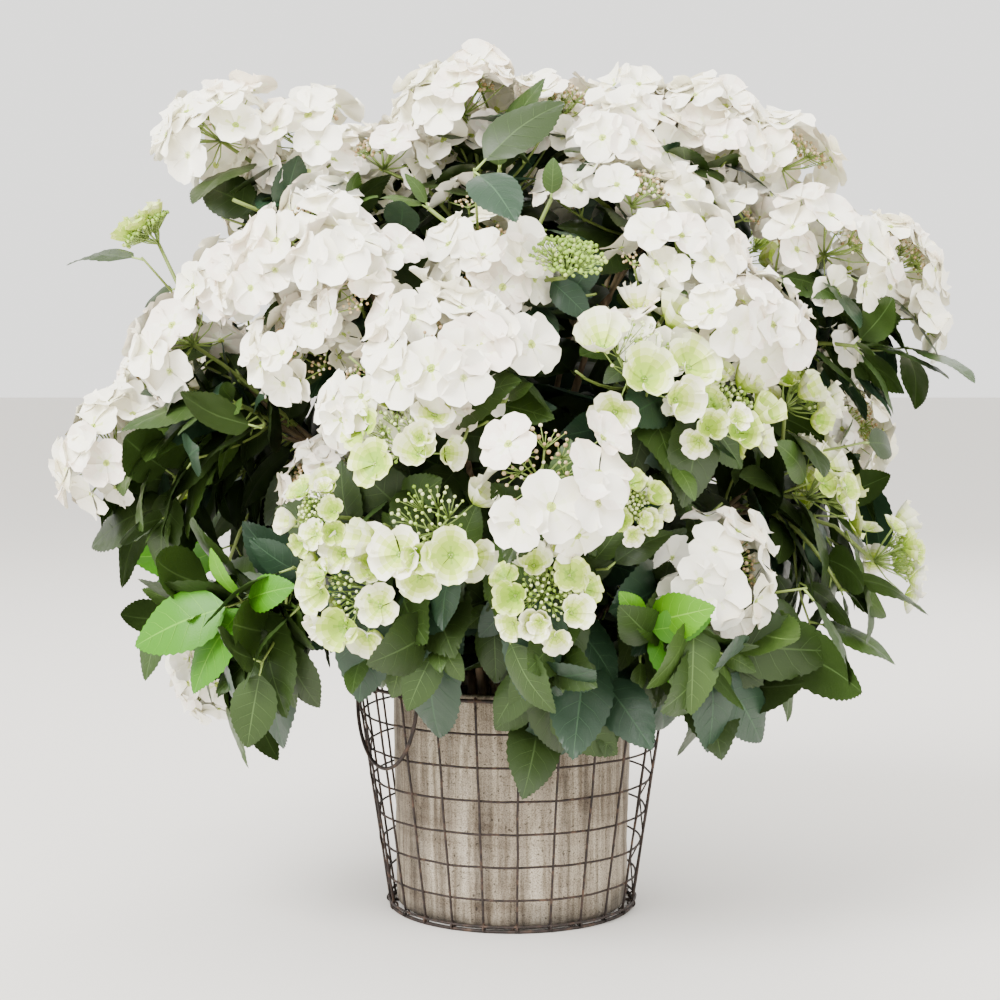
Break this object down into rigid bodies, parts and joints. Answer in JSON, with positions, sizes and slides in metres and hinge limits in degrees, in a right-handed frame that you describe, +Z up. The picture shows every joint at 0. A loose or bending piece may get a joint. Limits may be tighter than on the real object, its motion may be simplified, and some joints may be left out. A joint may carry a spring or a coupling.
{
  "type": "potted hydrangea shrub",
  "caption": "White lacecap hydrangea with domed flower heads over dark leaves, in a pale round pot that stands in an open wire basket with swinging drop handles.",
  "frame": {"origin": "the middle of the basket's flat underside, where the floor wires cross", "axes": "+Z up; -Y is the side seen in the picture, and +X its right"},
  "size_m": [0.6935, 0.6051, 0.6691],
  "materials": {
    "pot": "weathered, matt",
    "soil": "crumbly, matt",
    "wire": "dark, slightly rusted",
    "cane": "bark, matt",
    "foliage": "leaves and blossom"
  },
  "bodies": {
    "planter": {"cast_pot": "pot", "potting_soil": "soil", "basket_cage": "wire", "basket_hoop_1": "wire", "basket_hoop_2": "wire", "basket_hoop_3": "wire", "basket_hoop_4": "wire", "basket_hoop_5": "wire", "basket_hoop_6": "wire", "cane_crown_left": "cane", "foliage_crown_left": "foliage", "cane_crown_middle": "cane", "foliage_crown_middle": "foliage", "cane_crown_right": "cane", "foliage_crown_right": "foliage", "cane_shoulder_right": "cane", "foliage_shoulder_right": "foliage", "cane_upper_left": "cane", "foliage_upper_left": "foliage", "cane_side_left": "cane", "foliage_side_left": "foliage", "cane_front_left": "cane", "foliage_front_left": "foliage", "cane_upper_middle": "cane", "foliage_upper_middle": "foliage", "cane_front_right": "cane", "foliage_front_right": "foliage", "cane_front_middle": "cane", "foliage_front_middle": "foliage", "cane_low_front_left": "cane", "foliage_low_front_left": "foliage", "cane_low_front_right": "cane", "foliage_low_front_right": "foliage", "cane_side_right": "cane", "foliage_side_right": "foliage", "cane_low_left": "cane", "foliage_low_left": "foliage", "cane_back_crown_left": "cane", "foliage_back_crown_left": "foliage", "cane_back_crown_right": "cane", "foliage_back_crown_right": "foliage", "cane_back_left": "cane", "foliage_back_left": "foliage", "cane_back_right": "cane", "foliage_back_right": "foliage", "cane_back_middle": "cane", "foliage_back_middle": "foliage", "cane_low_back": "cane", "foliage_low_back": "foliage"},
    "handle_left": {"handle_left": "wire"},
    "handle_right": {"handle_right": "wire"}
  },
  "joints": [
    {"name": "handle_left_swing", "type": "hinge", "parent": "planter", "child": "handle_left", "pos_m": [-0.0971, -0.06067, 0.183], "axis": [-0.5299, 0.848, 0], "range_deg": [0, 70]},
    {"name": "handle_right_swing", "type": "hinge", "parent": "planter", "child": "handle_right", "pos_m": [0.0971, 0.06067, 0.183], "axis": [0.5299, -0.848, 0], "range_deg": [0, 70]}
  ]
}
